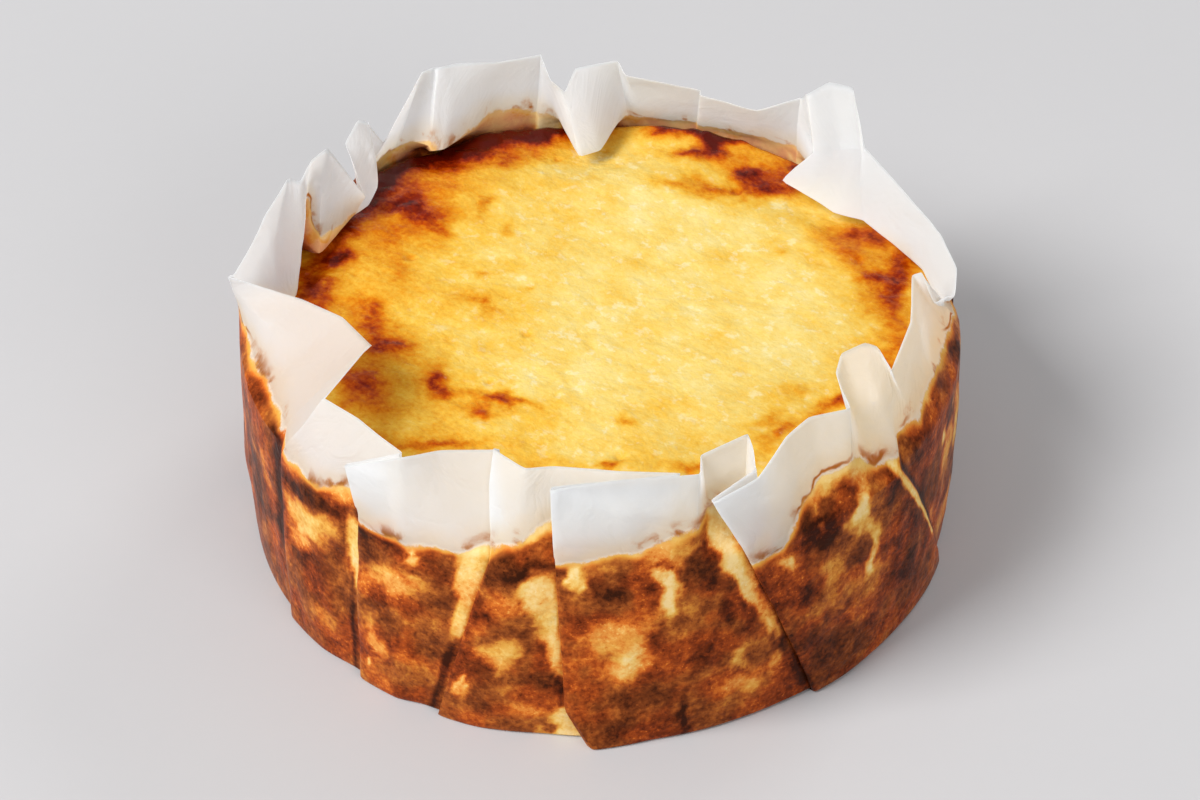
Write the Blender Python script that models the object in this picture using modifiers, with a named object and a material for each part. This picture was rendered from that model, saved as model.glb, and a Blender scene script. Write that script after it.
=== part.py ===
"""Basque cheesecake in the baking parchment it was baked in.

A round cheesecake 152 mm across stands in one sheet of parchment, pressed
into a 15 cm tin.  The spare paper is gathered in pleats that run up the side,
and it stands above the cake as a crumpled collar.  Metres, +Z up, the middle
of the underside at the origin.  Azimuth 0 is the front (-Y) and grows towards
the right (+X).
"""

import math

import bmesh
import bpy

MM = 0.001

# parchment
PAPER = 0.45 * MM           # thickness of the sheet, several times real paper
PLY = 0.90 * MM             # step from one layer of a pleat to the next
WALL_RADIUS = 76.3 * MM     # middle of the innermost layer
WALL_BULGE = 0.6 * MM       # the side swells this much at half height
BASE_THICK = 0.7 * MM
BASE_MARGIN = 0.4 * MM      # the base reaches this far past the folds above it
WALL_FOOT = 0.35 * MM       # the side starts inside the thickness of the base
CAKE_EDGE = 48.0 * MM       # height where the paper leaves the cake
LIP_HEIGHT = 53.0 * MM      # height where a fold lies over the edge of the cake
LIP_SHARE = 0.25            # how far up the collar the lip is on a plain crease
MIDDLE_SHARE = 0.55
LONGEST_STEP = 9.0          # degrees between two columns of the sheet
FRONT_CORNER = 1.8 * MM     # the front fold sticks out at the foot

# cake
CAKE_RADIUS = 75.2 * MM
CAKE_BOTTOM = 1.0 * MM
CAKE_HEIGHT = 49.0 * MM     # the top, a little inside its edge
CENTRE_SINK = 1.6 * MM      # the middle has settled by this much
EDGE_ROUND = 5.0 * MM
FOOT_ROUND = 2.0 * MM
CAKE_COLUMNS = 72
# where folds of paper press on the edge: azimuth, radius, depth and half width
DENTS = (
    (-60, 70, 1.0, 7),
    (131, 69, 1.8, 12),
    (182, 67, 2.4, 11),
    (211, 72, 1.5, 7),
    (233, 72, 1.2, 7),
    (252, 70, 1.8, 8),
)

# The creases of the sheet, in order round the cake.  Each has its azimuth at
# the foot and at the edge of the cake, the layer it lies in (two numbers where
# the sheet steps from one layer to another), and for the collar the azimuth,
# radius and height of its upper end.  A third point gives the lip (azimuth and
# radius) of a crease that is folded in over the cake, and a fourth its middle.
CREASES = (
    ("left_corner", -92, -92, (0.8, 0.8), (-87, 77, 64)),
    ("left_bend", -80, -80, (0.4, 0.4), (-79, 63, 64), None, (-79, 71, 59)),
    ("left_tuck", -59, -57.5, (0, 1), (-62, 53, 62), (-59, 73), (-60, 64, 58)),
    ("left_pleat", -58.5, -57, (1, 2), (-50, 71.5, 66)),
    ("front_left_a", -49, -47, (1.7, 1.7), (-42, 71, 66)),
    ("front_left_b", -43, -41, (0, 0), (-38, 70.8, 64.5)),
    ("tuck_2", -33, -31, (0, 1), (-33.5, 70.5, 62.5)),
    ("pleat_2", -40.5, -38.5, (1, 2), (-40, 77.5, 60)),
    ("panel_3a", -33, -30, (2, 2), (-31, 75, 66)),
    ("panel_3b", -29, -21, (0.2, 0.2), (-26.5, 69.5, 66)),
    ("tuck_3", -22, -13, (0, 1), (-14.5, 58.5, 62)),
    ("pleat_3", -26, -16.5, (1, 2), (-18.5, 65, 66)),
    ("panel_5a", -19, -12.5, (2, 2), (-12, 69, 66)),
    ("panel_5b", -9, -7.5, (0, 0), (-7.5, 67.5, 66)),
    ("panel_5c", -1, 1, (0, 0), (3.2, 68.5, 66)),
    ("tuck_4", 5, 5, (0, 1), (13, 69.5, 65)),
    ("front_pleat", -0.8, -6.7, (1, 2), (-7, 76.5, 68.5)),
    ("front_flap", 8, 6, (2, 2), (1.5, 75, 69.5)),
    ("front_end", 18, 14, (1, 1), (15, 74, 68)),
    ("front_turn", 22, 17, (0.5, 0.5), (17, 66.5, 66)),
    ("right_tuck_tip", 29, 20.5, (0, 0), (27, 64, 66)),
    ("tuck_5", 39, 26, (0, 1), (25.5, 71.5, 63.5)),
    ("right_pleat", 35, 21.5, (1, 2), (16, 77.5, 64)),
    ("panel_7a", 41, 27, (2, 2), (24, 74.5, 64)),
    ("panel_7b", 48, 33, (1.5, 1.5), (32, 68.5, 66)),
    ("panel_7c", 57, 40, (1.5, 1.5), (45, 70, 66)),
    ("right_fold_tip", 66, 46, (2, 2), (51, 61, 66)),
    ("pleat_6", 73, 52, (2, 2), (60.5, 61, 66), None, (54.5, 69.5, 60.5)),
    ("under_6", 73.8, 52.9, (0, 0), (62.5, 64.5, 65), None, (58.5, 69.5, 59.5)),
    ("panel_8a", 77, 61, (0, 0), (62.5, 68.5, 62.5)),
    ("panel_8b", 80, 69, (0.4, 0.4), (73, 67, 64)),
    ("panel_8c", 86, 82, (0.9, 0.9), (89, 66, 62)),
    ("right_corner", 98, 98, (0, 2), (91, 76, 60)),
    ("right_back_a", 111, 111, (1, 1), (105, 74, 61)),
    ("right_back_b", 122, 122, (0.4, 0.4), (124, 71.5, 65), (118.5, 67)),
    ("ear_top", 128, 128, (0.8, 0.8), (136, 82, 69), (124.5, 62.5)),
    ("ear_tip", 136, 136, (0.6, 0.6), (142, 77.4, 66), (138.5, 61), (140, 70, 59)),
    ("back_a", 144, 144, (0, 1.8), (143, 75.5, 65)),
    ("back_b", 152, 152, (1.2, 1.2), (149.5, 70, 62)),
    ("back_c", 163, 163, (0, 1.8), (161, 70, 62)),
    ("back_d", 172, 172, (0.8, 0.8), (175.3, 69.5, 65)),
    ("back_e", 175, 175, (0.4, 0.4), (176.8, 73, 67)),
    ("back_fold_a", 178, 178, (0, 0), (184.6, 71.4, 66), (180, 57)),
    ("back_fold_b", 184, 184, (0, 0), (186.6, 66, 62), (185, 54.5)),
    ("back_f", 187.5, 187.5, (0.3, 0.3), (188.8, 71.8, 63.5)),
    ("back_g", 191, 191, (0, 1.8), (190, 75.5, 67)),
    ("back_left_a", 199, 199, (0.7, 0.7), (197.6, 75.6, 67)),
    ("back_left_b", 207, 207, (0, 0), (204.8, 77.3, 68), (212, 67)),
    ("back_left_c", 212, 212, (0, 1.8), (208.5, 77.6, 68), (214.4, 68.6)),
    ("back_left_d", 218, 218, (1.2, 1.2), (211.3, 77.9, 68)),
    ("notch", 226, 226, (0.4, 0.4), (224.7, 71.7, 58)),
    ("small_flap_a", 228, 228, (0.5, 0.5), (224.8, 73.9, 64)),
    ("small_flap_b", 230, 230, (0.8, 0.8), (227, 74, 66), (230.5, 68)),
    ("small_flap_c", 234, 234, (1, 1), (231.5, 75, 61.5)),
    ("leaf_a", 238, 238, (0.5, 0.5), (238, 62, 57.5), (238, 67.5)),
    ("leaf_b", 249, 249, (0, 0), (240.5, 69.5, 68.5), (252, 65)),
    ("leaf_c", 252, 252, (0, 0), (243, 70.8, 68)),
    ("left_back", 258, 258, (0, 1.6), (247.5, 73.6, 66)),
)


def clear_scene():
    """Remove every object, so that only the cake is left."""
    for old in list(bpy.data.objects):
        bpy.data.objects.remove(old, do_unlink=True)


def new_collection(name):
    """Return a new collection linked to the scene."""
    made = bpy.data.collections.new(name)
    bpy.context.scene.collection.children.link(made)
    return made


def new_material(name, colour, roughness):
    """Return a Principled material of one colour."""
    made = bpy.data.materials.new(name)
    made.use_nodes = True
    shader = made.node_tree.nodes["Principled BSDF"]
    shader.inputs["Base Color"].default_value = (*colour, 1.0)
    shader.inputs["Roughness"].default_value = roughness
    return made


def polar(azimuth, radius, height):
    """Return the point at an azimuth in degrees, a radius and a height in metres."""
    turn = math.radians(azimuth)
    return (radius * math.sin(turn), -radius * math.cos(turn), height)


def layer_radius(layer, height):
    """Return the radius of one layer of the pleated side at a height."""
    swell = WALL_BULGE * math.sin(math.pi * min(height / CAKE_EDGE, 1.0))
    return WALL_RADIUS + PLY * layer + swell


def blend(low, high, share):
    """Return the value a share of the way from low to high, item by item."""
    return tuple(a + (b - a) * share for a, b in zip(low, high))


def moved_off(start, points, distance):
    """Return points of a column moved square to it, towards the outside."""
    moved = []
    before = start
    for azimuth, radius, height in points:
        out = height - before[2]
        up = before[1] - radius
        length = math.hypot(out, up)
        moved.append((azimuth, radius + distance * out / length, height + distance * up / length))
        before = (azimuth, radius, height)
    return moved


def crease_columns(name, foot, edge, layers, top, lip=None, middle=None):
    """Return the one or two columns of points that make a crease of the sheet."""
    columns = []
    for layer in layers[: 1 if layers[0] == layers[1] else 2]:
        kick = FRONT_CORNER if name == "front_pleat" and layer == 2 else 0.0
        side = [
            (foot, layer_radius(layer, 0.0) + kick, WALL_FOOT),
            ((foot + edge) / 2, layer_radius(layer, CAKE_EDGE / 2), CAKE_EDGE / 2),
            (edge, layer_radius(layer, CAKE_EDGE), CAKE_EDGE),
        ]
        end = (top[0], top[1] * MM, top[2] * MM)
        if lip is None:
            low = blend((edge, layer_radius(layers[0], CAKE_EDGE), CAKE_EDGE), end, LIP_SHARE)
        else:
            low = (lip[0], lip[1] * MM, LIP_HEIGHT)
        if middle is None:
            half = blend(low, end, MIDDLE_SHARE)
        else:
            half = (middle[0], middle[1] * MM, middle[2] * MM)
        collar = moved_off(side[-1], [low, half, end], PLY * (layer - layers[0]))
        columns.append(side + collar)
    return columns


def sheet_columns():
    """Return every column of the sheet, with wide panels split along their arc."""
    creases = []
    for crease in CREASES:
        creases += crease_columns(*crease)
    columns = []
    for here, after in zip(creases, creases[1:] + creases[:1]):
        turn = 360.0 if after is creases[0] else 0.0
        after = [(a + turn, r, z) for a, r, z in after]
        parts = max(1, math.ceil(abs(after[2][0] - here[2][0]) / LONGEST_STEP))
        for part in range(parts):
            columns.append([blend(p, q, part / parts) for p, q in zip(here, after)])
    return columns


def mesh_object(name, points, faces, collection, material):
    """Return a new mesh object made of points and faces."""
    mesh = bpy.data.meshes.new(name)
    mesh.from_pydata(points, [], faces)
    mesh.validate()
    mesh.materials.append(material)
    made = bpy.data.objects.new(name, mesh)
    collection.objects.link(made)
    return made


def pleated_sheet(collection, material):
    """Return the side and collar of the parchment as one solid band."""
    columns = sheet_columns()
    rows = len(columns[0])
    points = [polar(*point) for column in columns for point in column]
    faces = []
    for column in range(len(columns)):
        beside = (column + 1) % len(columns)
        for row in range(rows - 1):
            a = column * rows + row
            b = beside * rows + row
            faces += [(a, b, b + 1), (a, b + 1, a + 1)]
    sheet = mesh_object("parchment", points, faces, collection, material)
    solid = sheet.modifiers.new("paper_thickness", "SOLIDIFY")
    solid.thickness = PAPER
    solid.offset = 0.0
    solid.use_even_offset = False
    return sheet


def base_sheet(collection, material):
    """Return the flat base of the parchment, as wide as the folds on it."""
    shape = bmesh.new()
    for column in sheet_columns():
        azimuth, radius, _ = column[0]
        for height in (0.0, BASE_THICK):
            shape.verts.new(polar(azimuth, radius + BASE_MARGIN, height))
    hull = bmesh.ops.convex_hull(shape, input=shape.verts)
    spare = {v for v in hull["geom_interior"] + hull["geom_unused"]
             if isinstance(v, bmesh.types.BMVert)}
    bmesh.ops.delete(shape, geom=list(spare), context="VERTS")
    bmesh.ops.recalc_face_normals(shape, faces=shape.faces)
    mesh = bpy.data.meshes.new("base_sheet")
    shape.to_mesh(mesh)
    shape.free()
    mesh.materials.append(material)
    made = bpy.data.objects.new("base_sheet", mesh)
    made.hide_render = True
    collection.objects.link(made)
    return made


def cake_profile():
    """Return the half section of the cake as (radius, height), foot to middle."""
    profile = [(CAKE_RADIUS - FOOT_ROUND, CAKE_BOTTOM)]
    for step in (1, 2):
        turn = math.radians(45 * step)
        profile.append((CAKE_RADIUS - FOOT_ROUND * (1 - math.sin(turn)),
                        CAKE_BOTTOM + FOOT_ROUND * (1 - math.cos(turn))))
    profile.append((CAKE_RADIUS, CAKE_HEIGHT / 2))
    for step in range(5):
        turn = math.radians(22.5 * step)
        profile.append((CAKE_RADIUS - EDGE_ROUND * (1 - math.cos(turn)),
                        CAKE_HEIGHT - EDGE_ROUND * (1 - math.sin(turn))))
    for share in (0.84, 0.66, 0.46, 0.22):
        sink = CENTRE_SINK * (1 - share) ** 0.7
        profile.append((CAKE_RADIUS * share, CAKE_HEIGHT - sink))
    return profile


def uneven(azimuth, radius):
    """Return how far the top of the cake is above its plain shape there, in metres."""
    turn = math.radians(azimuth)
    share = radius / CAKE_RADIUS
    lift = 0.35 * math.sin(2 * turn + 0.7) + 0.25 * math.sin(5 * turn) + 0.15 * math.sin(9 * turn)
    lift *= share
    for at, out, depth, width in DENTS:
        away = math.dist(polar(azimuth, radius / MM, 0), polar(at, out, 0))
        lift -= depth * math.exp(-(away / width) ** 2)
    return lift * MM


def whole_cake(collection, material):
    """Return the cake: a low drum with a soft, slightly sunken top."""
    profile = cake_profile()
    points = []
    for column in range(CAKE_COLUMNS):
        azimuth = 360.0 * column / CAKE_COLUMNS
        for radius, height in profile:
            lift = uneven(azimuth, radius) if height > CAKE_HEIGHT * 0.9 else 0.0
            points.append(polar(azimuth, radius, height + lift))
    rows = len(profile)
    faces = []
    for column in range(CAKE_COLUMNS):
        beside = (column + 1) % CAKE_COLUMNS
        for row in range(rows - 1):
            a = column * rows + row
            b = beside * rows + row
            faces.append((a, b, b + 1, a + 1))
    foot = len(points)
    points.append((0.0, 0.0, CAKE_BOTTOM))
    points.append((0.0, 0.0, CAKE_HEIGHT - CENTRE_SINK))
    for column in range(CAKE_COLUMNS):
        beside = (column + 1) % CAKE_COLUMNS
        faces.append((foot, beside * rows, column * rows))
        faces.append((foot + 1, column * rows + rows - 1, beside * rows + rows - 1))
    return mesh_object("cheesecake", points, faces, collection, material)


def connected(start):
    """Return the vertices joined to one vertex by edges."""
    found = {start}
    waiting = [start]
    while waiting:
        vert = waiting.pop()
        for edge in vert.link_edges:
            other = edge.other_vert(vert)
            if other not in found:
                found.add(other)
                waiting.append(other)
    return found


def keep_largest_body(made):
    """Bake the modifiers of an object and drop specks left by its Boolean."""
    graph = bpy.context.evaluated_depsgraph_get()
    baked = bpy.data.meshes.new_from_object(made.evaluated_get(graph))
    made.modifiers.clear()
    made.data = baked
    shape = bmesh.new()
    shape.from_mesh(baked)
    bodies = []
    left = set(shape.verts)
    while left:
        body = connected(next(iter(left)))
        left -= body
        bodies.append(body)
    bodies.sort(key=len)
    for speck in bodies[:-1]:
        bmesh.ops.delete(shape, geom=list(speck), context="VERTS")
    shape.to_mesh(baked)
    shape.free()


def build():
    """Build the cake and its parchment."""
    clear_scene()
    parts = new_collection("basque_cheesecake")
    cutters = new_collection("basque_cheesecake_joined_shapes")
    paper = new_material("parchment_paper", (0.86, 0.82, 0.75), 0.55)
    browned = new_material("baked_cheesecake", (0.80, 0.48, 0.14), 0.5)
    whole_cake(parts, browned)
    sheet = pleated_sheet(parts, paper)
    base = base_sheet(cutters, paper)
    join = sheet.modifiers.new("join_base", "BOOLEAN")
    join.operation = "UNION"
    join.solver = "EXACT"
    join.use_self = True
    join.object = base
    bpy.context.view_layer.update()
    keep_largest_body(sheet)


build()
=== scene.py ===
import math

import bpy
import numpy as np
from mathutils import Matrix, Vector, noise


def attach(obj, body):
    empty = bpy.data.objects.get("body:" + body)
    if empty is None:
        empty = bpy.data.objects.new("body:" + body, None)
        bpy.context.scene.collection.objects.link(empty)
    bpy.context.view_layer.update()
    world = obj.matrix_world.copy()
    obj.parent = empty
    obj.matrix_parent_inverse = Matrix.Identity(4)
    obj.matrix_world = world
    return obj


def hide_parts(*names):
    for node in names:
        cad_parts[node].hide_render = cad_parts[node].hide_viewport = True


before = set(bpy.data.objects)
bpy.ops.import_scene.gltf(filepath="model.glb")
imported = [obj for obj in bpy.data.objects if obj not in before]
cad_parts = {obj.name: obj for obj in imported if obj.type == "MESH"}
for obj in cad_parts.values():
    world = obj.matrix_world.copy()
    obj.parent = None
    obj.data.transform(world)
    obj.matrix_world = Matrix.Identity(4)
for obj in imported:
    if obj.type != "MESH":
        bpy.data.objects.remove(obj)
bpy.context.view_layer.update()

MM = 0.001

# ---------------- sizes, in mm
# parchment
PAPER = 0.12                # thickness of the sheet
PLY = 0.75                  # step from one layer of a pleat to the next
WALL_RADIUS = 76.3          # middle of the innermost layer
WALL_BULGE = 0.6            # the side swells this much at half height
WALL_FOOT = 0.9             # where the side starts above its turned-in foot
CAKE_EDGE = 48.0            # height where the paper leaves the cake
LIP_SHARE = 0.25            # from edge to top, where a crease gives no lip
MIDDLE_SHARE = 0.55         # from lip to top, where a crease gives no middle
FRONT_CORNER = 2.5          # the front fold sticks out at the foot
CELL = 1.15                 # spacing of the sheet's fine columns
WALL_ROWS = 38
COLLAR_ROWS = (6, 7, 9)     # rows from edge to lip, lip to middle, middle to top
FOOT_STEPS = ((3.0, 0.0), (0.9, 0.0), (0.22, 0.25))     # turned-in foot: inwards, up
FOOT_ROWS = len(FOOT_STEPS)
BASE_RADIUS = 75.0
BASE_HEIGHT = 0.38          # the flat base lies on the turned-in foot
BASE_CORNERS = 120
COLLAR_FOLDS = (150, (50, 76))      # number of small folds, and where up the sheet
SIDE_FOLDS = (200, (2, 50))
SHARP_FOLD = 27             # degrees from which a fold of the paper shows as an edge

# cake
CAKE_RADIUS = 75.5
CAKE_BOTTOM = 1.0
CAKE_HEIGHT = 49.2
CENTRE_SINK = 1.6
EDGE_ROUND = 3.0
CAKE_CELLS = 250            # cells across the top
SIDE_DROPS = (-8.0, -20.0, -34.0)   # rings of the cake's side, below its rim
DRAWN_OUT = 38              # degrees from +X towards -Y of the marks of smoothing
# dents of the rim, where folds of paper press on it: azimuth, radius, depth, width
DENTS = (
    (-60, 70, 1.0, 7),
    (131, 69, 1.8, 12),
    (182, 67, 2.4, 11),
    (211, 72, 1.5, 7),
    (233, 72, 1.2, 7),
    (242, 74, 1.1, 5),
    (252, 70, 1.8, 8),
)

# Creases of the sheet, in order along it: azimuth at the foot and at the
# edge of the cake, layer (two where the sheet steps from one to another), how far
# up the sheet the butter has browned it, and the collar's upper end as azimuth,
# radius and height.  A crease that is folded in over the cake also has the point
# of its lip, and some have a middle point.
CREASES = (
    ("left_tuck", -59, -57.5, (0, 1), 50.5, (-62, 53, 62), (-59, 73, 53), (-60, 64, 58)),
    ("left_pleat", -58.5, -57, (1, 2), 48.5, (-50, 71.5, 66)),
    ("front_left_a", -49, -47, 1.7, 48, (-42, 71, 66)),
    ("front_left_b", -43, -41, 0, 51.5, (-38, 70.8, 64.5)),
    ("tuck_2", -33, -31, (0, 1), 52, (-33.5, 70.5, 62.5)),
    ("pleat_2", -40.5, -38.5, (1, 2), 47, (-40, 77.5, 60)),
    ("panel_3a", -33, -30, 2, 46, (-31, 75, 66)),
    ("panel_3b", -29, -21, 0.2, 47.5, (-26.5, 69.5, 66)),
    ("tuck_3", -22, -13, (0, 1), 53, (-17.4, 64.4, 65.6)),
    ("pleat_3", -26, -16.5, (1, 2), 51.5, (-18.5, 65, 66)),
    ("panel_5a", -19, -12.5, 2, 54, (-12, 69, 66)),
    ("panel_5b", -9, -7.5, 0, 56, (-7.5, 67.5, 66)),
    ("panel_5c", -1, 1, 0, 56, (3.2, 68.5, 66)),
    ("tuck_4", 5, 5, (0, 1), 56, (13, 69.5, 65)),
    ("front_pleat", -1.8, -6.7, (1, 2), 50.5, (-7, 76.5, 68.5)),
    ("front_flap", 8, 6, 2, 51.5, (1.5, 75, 69.5)),
    ("front_end", 18, 14, 1, 56, (15, 74, 68)),
    ("front_turn", 22, 17, 0.5, 58, (17, 66.5, 66)),
    ("right_tuck_tip", 29, 20.5, 0, 58, (27, 64, 66)),
    ("tuck_5", 39, 26, (0, 1), 58, (25.5, 71.5, 63.5)),
    ("right_pleat", 35, 21.5, (1, 2), 47.5, (16, 77.5, 64)),
    ("panel_7a", 41, 27, 2, 50, (24, 74.5, 64)),
    ("panel_7b", 48, 33, 1.5, 57.5, (32, 68.5, 66)),
    ("panel_7_top", 52.5, 36.5, 1.5, 61, (37.5, 67.2, 67)),
    ("panel_7c", 57, 40, 1.5, 62, (45, 70, 66)),
    ("right_fold_tip", 66, 46, 2, 61, (51, 61, 66)),
    ("right_fold_round", 69.5, 49, 2, 59.5, (56.7, 58.5, 66), None, (51, 67.5, 60.5)),
    ("pleat_6", 73, 52, 2, 58, (62, 61, 66), None, (54.5, 69.5, 60.5)),
    ("under_6", 73.8, 52.9, 0, 61, (62.5, 63.5, 65.5), None, (58.5, 69.5, 59.5)),
    ("panel_8a", 77, 61, 0, 57, (60.2, 68, 62)),
    ("panel_8b", 80, 69, 0.4, 57, (73, 67, 64)),
    ("panel_8c", 86, 82, 0.9, 53, (89, 66, 62)),
    ("right_facet", 89, 89, 0.9, 51, (88.8, 67.9, 63)),
    ("right_dip", 92, 92, 0.9, 49, (86, 70.8, 57.5)),
    ("right_corner", 98, 98, (0, 2), 48, (87.5, 73.6, 58), (92, 72.6, 51)),
    ("right_bulge", 103, 103, 1.6, 50, (91.5, 75.8, 61.5), (95, 72.4, 51)),
    ("right_turn", 107, 107, 1.3, 52, (100.5, 74.8, 61), (102, 71.7, 51), (103.8, 72.6, 57)),
    ("right_back_a", 111, 111, 1, 54, (105, 74, 61), (107, 69.6, 51)),
    ("right_back_b", 122, 122, 0.4, 51, (129.5, 77, 59.5), (119.3, 67.1, 51), (126, 72, 54.5)),
    ("ear_top", 127, 127, 0.8, 51, (136, 82, 69), (124.3, 62.7, 51), (131, 78.5, 57.5)),
    ("ear_fold", 131, 131, 0.8, 51, (139.5, 79.5, 69.5), (131, 62.5, 51), (134.5, 76.5, 55.5)),
    ("ear_tip", 136, 136, 0.6, 51, (141.7, 75.5, 67), (139.9, 63, 51), (137.3, 71.2, 55.5)),
    ("ear_under", 140, 140, 0.3, 51, (142.4, 76.2, 66), (133, 69.5, 50.4), (138.8, 75.2, 54.5)),
    ("back_a", 144, 144, (0, 1.8), 49, (143, 75.5, 65)),
    ("back_b", 152, 152, 1.2, 49.5, (149.5, 70, 62)),
    ("back_c", 163, 163, (0, 1.8), 49, (161, 70, 62)),
    ("back_d", 172, 172, 0.8, 49, (175.3, 69.5, 65)),
    ("back_e", 175, 175, 0.4, 49, (176.8, 73, 67)),
    ("back_fold_a", 178, 178, 0, 56, (184.6, 71.4, 66), (179.9, 60, 50.6)),
    ("back_fold_b", 184, 184, 0, 56, (186.8, 67.8, 62), (184.7, 57.6, 50.6)),
    ("back_f", 187.5, 187.5, 0.3, 50, (189.3, 68.6, 65)),
    ("back_g", 191, 191, (0, 1.8), 50.5, (190, 75.5, 67)),
    ("back_left_a", 199, 199, 0.7, 52.5, (197.6, 75.6, 67)),
    ("back_left_b", 207, 207, 0, 56, (204.8, 77.3, 68), (210.9, 69.5, 51.2)),
    ("back_left_c", 212, 212, (0, 1.8), 56, (208.5, 77.6, 68), (213.3, 70.6, 51.2)),
    ("back_left_d", 218, 218, 1.2, 50.5, (211.3, 77.9, 68)),
    ("notch", 225, 225, 0.4, 50.5, (222, 73.2, 57)),
    ("small_flap_a", 227, 227, 0.2, 50.5, (224, 75.2, 62.5)),
    ("small_flap_b", 229.5, 229.5, 0.6, 56, (224.9, 73.9, 64), (226.8, 68.4, 50.8), (227, 68.3, 57.5)),
    ("small_flap_c", 231.5, 231.5, 0.8, 50.5, (227, 74, 66), (229.5, 66.3, 50.8)),
    ("small_flap_d", 234, 234, 1, 50.5, (231, 73.4, 62.5), (233, 64.5, 50.6)),
    ("leaf_a", 238, 238, 0.5, 61, (235.9, 62.3, 55.5), (237.6, 65, 50.6)),
    ("leaf_b", 248, 248, 0, 62, (236.6, 72, 66), (251, 64.9, 50.3)),
    ("leaf_c", 250, 250, 0, 61, (243, 70.8, 68), None, (243.5, 72.5, 57.5)),
    ("left_panel_edge", 254, 254, 0, 64, (246.5, 71.2, 65), (265, 65.5, 50.3), (253, 67.6, 55.5)),
    ("left_back", 260, 260, 0.4, 57, (247.5, 73.6, 66), (267, 70, 50.3)),
    ("left_corner", 268, 268, (0, 1.8), 51, (273, 77, 64)),
    ("left_bend", 280, 280, 0.4, 51, (281, 63, 64), None, (281, 71, 59)),
    ("left_flap_edge", 290, 290, 0.2, 51, (288, 56, 63.5)),
)

BASE_STAIN = -40.0          # the base counts as this far below the stain's edge

# Creases of the side that bend on their way up: the height of the bend, and how
# much of the way from the foot's azimuth to the edge's they are there.
BEND = {"front_pleat": (10.0, 0.74)}
STRAIGHT = (24.0, 0.5)

# The way each crease runs up the side: azimuth at the foot and at the edge, and
# its bend.  One dark streak at the front is not beside a crease.
LINES = {crease[0]: (crease[1], crease[2], BEND.get(crease[0], STRAIGHT)) for crease in CREASES}
LINES["front_streak"] = (12.6, 12.3, STRAIGHT)

# Pale strips of sheet beside a pleat that the heat did not reach: the crease,
# lowest and highest point, and width in degrees at the lowest and the highest.
PALE_STRIPS = (
    ("pleat_2", 26, 44, 1.2, 3.4),
    ("pleat_3", 22, 49, 1.6, 5.2),
    ("front_pleat", 17, 46, 0.8, 5.2),
    ("front_pleat", -3, 10, 9.0, 0.6),
    ("right_pleat", 16, 62, 0.8, 6.2),
    ("pleat_6", 16, 66, 0.6, 2.0),
    ("right_corner", 10, 44, 1.0, 4.0),
    ("back_a", 18, 46, 1.5, 4.5),
    ("back_c", 6, 40, 1.0, 3.5),
    ("back_g", 20, 50, 1.5, 5.0),
    ("back_left_c", 8, 44, 1.0, 4.0),
    ("left_corner", 16, 48, 1.0, 4.5),
)
SIDE_BAKE = 0.70            # how brown the side is between its patches
# Lighter and darker patches of the side: azimuth, height, half width in mm
# round the side, half height in mm, and how much browner (+) or paler (-).
SIDE_PATCHES = (
    (-66, 35, 3, 3.5, -0.2), (-61, 47, 3, 6, 0.14), (-72, 24, 9, 20, 0.08), (-49, 44, 12, 3, 0.22),
    (-52, 36, 5.5, 5, -0.52), (-46, 37, 4, 4, -0.38), (-52, 30, 4.5, 3.5, -0.42),
    (-48, 11, 5, 4, -0.14), (-57, 14, 4, 8, 0.05), (-36, 44, 4, 5, 0.22),
    (-28.5, 43.5, 1.8, 2.4, -0.55), (-31, 35, 6.5, 4, -0.38), (-35, 27, 3, 3, 0.18),
    (-29, 28, 3, 3, 0.14), (-36, 15, 2, 5, -0.32), (-38, 8, 0.8, 2.5, -0.45),
    (-30, 12, 4.5, 5, -0.1), (-27, 20, 2.5, 5, 0.08), (-13.5, 47, 4, 3.5, 0.16),
    (-14.5, 37, 3.5, 5, -0.22), (-15.5, 24, 4, 5, -0.38), (-9.5, 19, 3.5, 6, 0.16),
    (-12, 6, 3.5, 3, -0.24), (-20.8, 12, 0.9, 4, -0.5), (-3.5, 46, 1.6, 4.2, -0.62),
    (2, 43, 6.5, 3.5, 0.2), (3.5, 28, 6, 9, -0.34), (4.5, 22, 4, 4.5, -0.22), (8, 36, 2.5, 3, -0.2),
    (10.5, 40, 2.6, 7, -0.62), (9, 46, 2.4, 2.5, -0.5), (15.5, 45, 4, 6, 0.24),
    (20, 35, 3, 8, 0.18), (15, 22, 3.5, 4.5, 0.14), (21, 20, 3, 2.5, -0.28),
    (21.5, 10, 5, 3, -0.26), (27.5, 14, 2, 3, -0.3), (27, 42, 1.7, 2.6, -0.5),
    (34, 46, 7, 4.5, 0.22), (34.5, 46, 1.5, 1.5, -0.4), (43, 45, 3.5, 6, -0.62),
    (45.5, 34, 2.2, 7, -0.58), (38, 30, 6.5, 7, -0.2), (33, 24, 3, 4, -0.12), (40, 9, 12, 7, 0.14),
    (57, 26, 11, 20, 0.12), (45, 24, 5, 9, -0.14), (50, 45, 3, 5, 0.16), (62, 47, 8, 6, 0.08),
    (66, 30, 5, 12, 0.1), (12.7, 6, 0.7, 7, 0.22), (0, 5, 8, 4, 0.1), (-36, 5, 9, 5, -0.1),
    (-20, 3, 7, 4, -0.08), (12, 4, 9, 4, 0.06), (39, 56, 9, 4, -0.48), (10, 52.5, 6, 2.8, -0.42),
    (-10, 55, 5, 2.2, -0.42), (-42, 52, 4, 3.5, -0.25), (64, 56, 7, 4, -0.4),
    (-9.5, 46, 3.5, 3, 0.35),
)
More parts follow.
